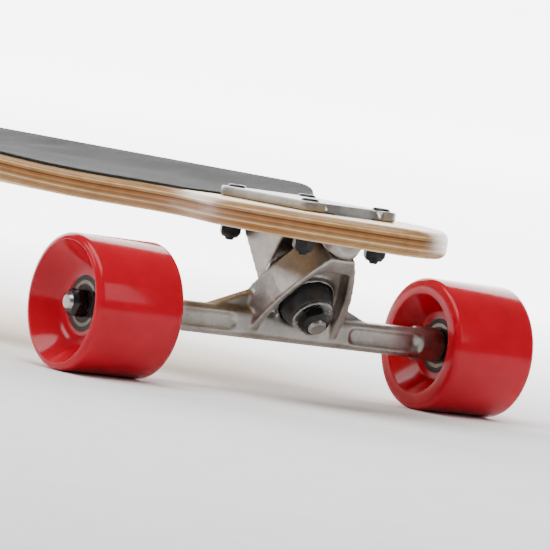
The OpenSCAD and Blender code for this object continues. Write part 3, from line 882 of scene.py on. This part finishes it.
# %% Tree that repeats a part on points
def repeat_tree():
    tree = bpy.data.node_groups.new("part on points", "GeometryNodeTree")
    face = tree.interface
    face.new_socket("Points", in_out="INPUT", socket_type="NodeSocketGeometry")
    face.new_socket("Part", in_out="INPUT", socket_type="NodeSocketObject")
    face.new_socket("Size", in_out="INPUT", socket_type="NodeSocketFloat")
    face.new_socket("Turn", in_out="INPUT", socket_type="NodeSocketFloat")
    face.new_socket("Seed", in_out="INPUT", socket_type="NodeSocketInt")
    face.new_socket("Finish", in_out="INPUT", socket_type="NodeSocketMaterial")
    face.new_socket("Solid", in_out="OUTPUT", socket_type="NodeSocketGeometry")
    add, link = tree.nodes.new, tree.links.new
    given, result = add("NodeGroupInput"), add("NodeGroupOutput")
    info, put = add("GeometryNodeObjectInfo"), add("GeometryNodeInstanceOnPoints")
    turn, spin = add("FunctionNodeRandomValue"), add("ShaderNodeCombineXYZ")
    real, finish = add("GeometryNodeRealizeInstances"), add("GeometryNodeSetMaterial")
    link(given.outputs["Part"], info.inputs["Object"])
    link(given.outputs["Points"], put.inputs["Points"])
    link(info.outputs["Geometry"], put.inputs["Instance"])
    link(given.outputs["Size"], put.inputs["Scale"])
    link(given.outputs["Turn"], turn.inputs[3])
    link(given.outputs["Seed"], turn.inputs["Seed"])
    link(turn.outputs[1], spin.inputs["Z"])
    link(spin.outputs["Vector"], put.inputs["Rotation"])
    link(put.outputs["Instances"], real.inputs["Geometry"])
    link(real.outputs["Geometry"], finish.inputs["Geometry"])
    link(given.outputs["Finish"], finish.inputs["Material"])
    link(finish.outputs["Geometry"], result.inputs["Solid"])
    return tree


REPEATED = repeat_tree()


def repeated(work, points, slot, seed):
    """Copies of a bmesh on points, each turned a little differently."""
    mesh = bpy.data.meshes.new("part")
    work.to_mesh(mesh)
    work.free()
    part = bpy.data.objects.new("part", mesh)
    bpy.context.collection.objects.link(part)
    spots = bpy.data.meshes.new("points")
    spots.from_pydata([tuple(p) for p in points], [], [])
    values = {"Part": part, "Size": 1.0, "Turn": math.pi / 3, "Seed": seed, "Finish": FINISHES[slot]}
    made = run_tree(REPEATED, spots, values)
    bpy.data.objects.remove(part)
    copies = bmesh.new()
    copies.from_mesh(made)
    return copies


# %% Bolts and nuts
head, shank = 4.6 * MM, 2.4 * MM
nut_clearance = 0.05 * MM
deck_nut_flat, deck_nut_crown = 9.5 * MM, 1.8 * MM

for seed, end in enumerate(ENDS):
    node = f"{end}_mounting_bolts"
    low, high = (Vector(corner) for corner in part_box(node))
    nut_low, nut_high = (Vector(corner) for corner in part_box(f"{end}_mounting_nuts"))
    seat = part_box(f"{end}_baseplate")[1][2]
    recess = 0.7 * (high.z - seat)
    spots = [(x, y, 0) for x, y in bolt_places(end)]
    bolt = lathe([
        (low.z, 0.0, 0.0), (low.z, shank - 0.5 * MM, 0.3 * MM),
        *threaded(low.z + 0.6 * MM, nut_low.z, shank),
        (nut_low.z, shank, 0.0), (seat, shank, 0.0), (seat, head, 0.2 * MM),
        (high.z, head - 0.8 * MM, 0.6 * MM),
        (high.z, 1.6 * MM, 0.1 * MM), (high.z - recess, 1.5 * MM, 0.0), (high.z - recess, 0.0, 0.0),
    ], 32, FINISHES["black_steel"])
    bolts = repeated(bolt, spots, "black_steel", seed)
    fit([bolts], [Matrix()], f"{end}_deck_bolts", "board", "black_steel", [node])
    lift = Matrix.Translation((0, 0, nut_low.z + nut_high.z))
    crown_down = lift @ Matrix.Rotation(math.pi, 4, "X")
    nut = hex_nut(nut_low.z, nut_high.z, deck_nut_flat, shank + nut_clearance, deck_nut_crown, 48)
    nut.transform(crown_down)
    nuts = repeated(nut, spots, "black_steel", seed + 10)
    fit([nuts], [Matrix()], f"{end}_deck_lock_nuts", "board", "black_steel",
        [f"{end}_mounting_nuts"], 25)

# %% [markdown]
# ## Axles and their nuts
#
# The axle is one rod with a thread at each end, and a lock nut outside each wheel. The rod is
# turned round Y, with its thread starting just inside the nut.

# %% Axles
axle_nut_height, axle_nut_flat, axle_nut_crown = 7 * MM, 12.7 * MM, 1.7 * MM

for end in ENDS:
    rod_low, rod_high = (Vector(corner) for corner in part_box(f"{end}_axle"))
    middle = (rod_low + rod_high) / 2
    rod, half = (rod_high.z - rod_low.z) / 2, (rod_high.y - rod_low.y) / 2
    start = half - thread_run
    ridge = threaded(start, half - 0.8 * MM, rod)
    mirrored = [(-along, radius, size) for along, radius, size in reversed(ridge)]
    shaft = lathe([
        (-half, 0.0, 0.0), (-half, rod - 0.8 * MM, 0.4 * MM), *mirrored,
        (-start, rod, 0.0), (start, rod, 0.0), *ridge,
        (half, rod - 0.8 * MM, 0.4 * MM), (half, 0.0, 0.0),
    ], 48, FINISHES["bright_steel"])
    hanger_body = end + "_hanger_set"
    fit([shaft], [facing(middle, (0, 1, 0))], end + "_axle_rod", hanger_body, "bright_steel",
        [end + "_axle"])
    nut_low, nut_high = (Vector(corner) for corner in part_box(f"{end}_axle_nuts"))
    outer = nut_high.y
    nuts = [
        hex_nut(outer - axle_nut_height, outer, axle_nut_flat, rod + nut_clearance, axle_nut_crown)
        for _ in SIDES
    ]
    places = [facing((middle.x, 0, middle.z), (0, sign, 0)) for sign in SIDES.values()]
    fit(nuts, places, end + "_axle_lock_nuts", hanger_body, "black_steel", [end + "_axle_nuts"], 25)

# %% [markdown]
# ## Floor, light and camera
#
# The board stands on a pale sheet that curves up into a backdrop. The backdrop glows, as one lit
# from behind does, and the glow fades out under the board. The room in front stays dimmer, which
# gives glossy parts something dark to mirror. The backdrop's wall is far enough away for a camera
# behind the board to stand in front of it. Large soft panels hang
# overhead and at the sides. The camera looks along the deck from in front of the nose, almost level
# with its top, with a long lens rolled to its right.

# %% Floor
floor_front, floor_back, floor_side, back_height, bend = -8.0, 12.0, 23.0, 15.0, 4.0
glow_from, glow_full = -0.25, 1.1
floor_turn = math.radians(55.8)


def sweep_floor():
    work = bmesh.new()
    profile = [(floor_front, 0.0), (glow_from, 0.0), (glow_full, 0.0), (floor_back, 0.0)]
    for turn in range(1, 13):
        a = math.radians(90 * turn / 12)
        profile.append((floor_back + bend * math.sin(a), bend - bend * math.cos(a)))
    profile.append((floor_back + bend, back_height))
    rows = []
    glow = work.verts.layers.float.new("glow")
    for across in (-floor_side, floor_side):
        rows.append([work.verts.new((across, away, up)) for away, up in profile])
        for vertex in rows[-1]:
            vertex[glow] = min(1.0, max(0.0, (vertex.co.y - glow_from) / (glow_full - glow_from)))
    for i in range(len(profile) - 1):
        work.faces.new((rows[0][i], rows[1][i], rows[1][i + 1], rows[0][i + 1]))
    mesh = bpy.data.meshes.new("floor")
    work.transform(Matrix.Rotation(floor_turn, 4, "Z"))
    work.to_mesh(mesh)
    work.free()
    mesh.shade_smooth()
    # The paper's emission is painted light: the sheet glows in place of lamps lighting the backdrop, from nothing
    # under the board to full strength behind it.
    paper = Finish("backdrop_paper", Specular_IOR_Level=0.1, Emission_Strength=5.0)
    reach_back = paper.node("ShaderNodeAttribute")
    reach_back.attribute_name = "glow"
    light = paper.ramp(reach_back.outputs["Fac"], [(0.0, (0.0, 0.0, 0.0)), (1.0, (1.0, 1.0, 1.0))])
    paper.feed(light, paper.shader.inputs["Emission Color"])
    fibre = paper.noise(40.0, 3.0)
    paper.finish(paper.ramp(fibre, [(0.3, (0.86, 0.86, 0.86)), (0.7, (0.90, 0.90, 0.90))]), 0.9)
    mesh.materials.append(paper.material)
    floor = bpy.data.objects.new("floor", mesh)
    bpy.context.collection.objects.link(floor)
    return floor


sweep_floor()

# %% Light
world = bpy.data.worlds.new("studio")
bpy.context.scene.world = world
world.use_nodes = True
world.node_tree.nodes["Background"].inputs["Color"].default_value = (1.0, 1.0, 1.0, 1.0)
world.node_tree.nodes["Background"].inputs["Strength"].default_value = 0.22


def panel(name, at, towards, size, power):
    data = bpy.data.lights.new(name, "AREA")
    data.shape = "RECTANGLE"
    data.size, data.size_y = size
    data.energy = power
    light = bpy.data.objects.new(name, data)
    light.location = at
    light.rotation_euler = (Vector(towards) - Vector(at)).to_track_quat("-Z", "Y").to_euler()
    bpy.context.collection.objects.link(light)


subject = Vector((half_base, 0.0, deck_top))
panel("overhead", (0.55, -0.35, 1.25), subject, (1.5, 0.8), 22.0)
panel("nose_side", (1.9, 0.7, 0.8), subject, (0.4, 0.8), 2.5)
panel("near_side", (-0.5, -1.6, 1.0), subject, (0.9, 0.4), 8.0)

# %% Camera
azimuth, elevation, roll = (math.radians(v) for v in (55.83, 2.28, 8.74))
distance, lens, sensor = 2.363, 322.6, 36.0
aim_left, aim_down = 0.0154, 0.0318
level = math.cos(elevation)
look = Vector((-math.sin(azimuth) * level, math.cos(azimuth) * level, -math.sin(elevation)))
level_right = look.cross(Vector((0, 0, 1))).normalized()
level_up = level_right.cross(look)
right = math.cos(roll) * level_right + math.sin(roll) * level_up
up = -math.sin(roll) * level_right + math.cos(roll) * level_up
aim = subject - aim_left * right - aim_down * up
camera_data = bpy.data.cameras.new("camera")
camera_data.lens = lens
camera_data.sensor_width = sensor
camera = bpy.data.objects.new("camera", camera_data)
turned = Matrix((right, up, -look)).transposed().to_4x4()
camera.matrix_world = Matrix.Translation(aim - look * distance) @ turned
bpy.context.collection.objects.link(camera)
bpy.context.scene.camera = camera
print("camera at", [round(v, 3) for v in camera.location])
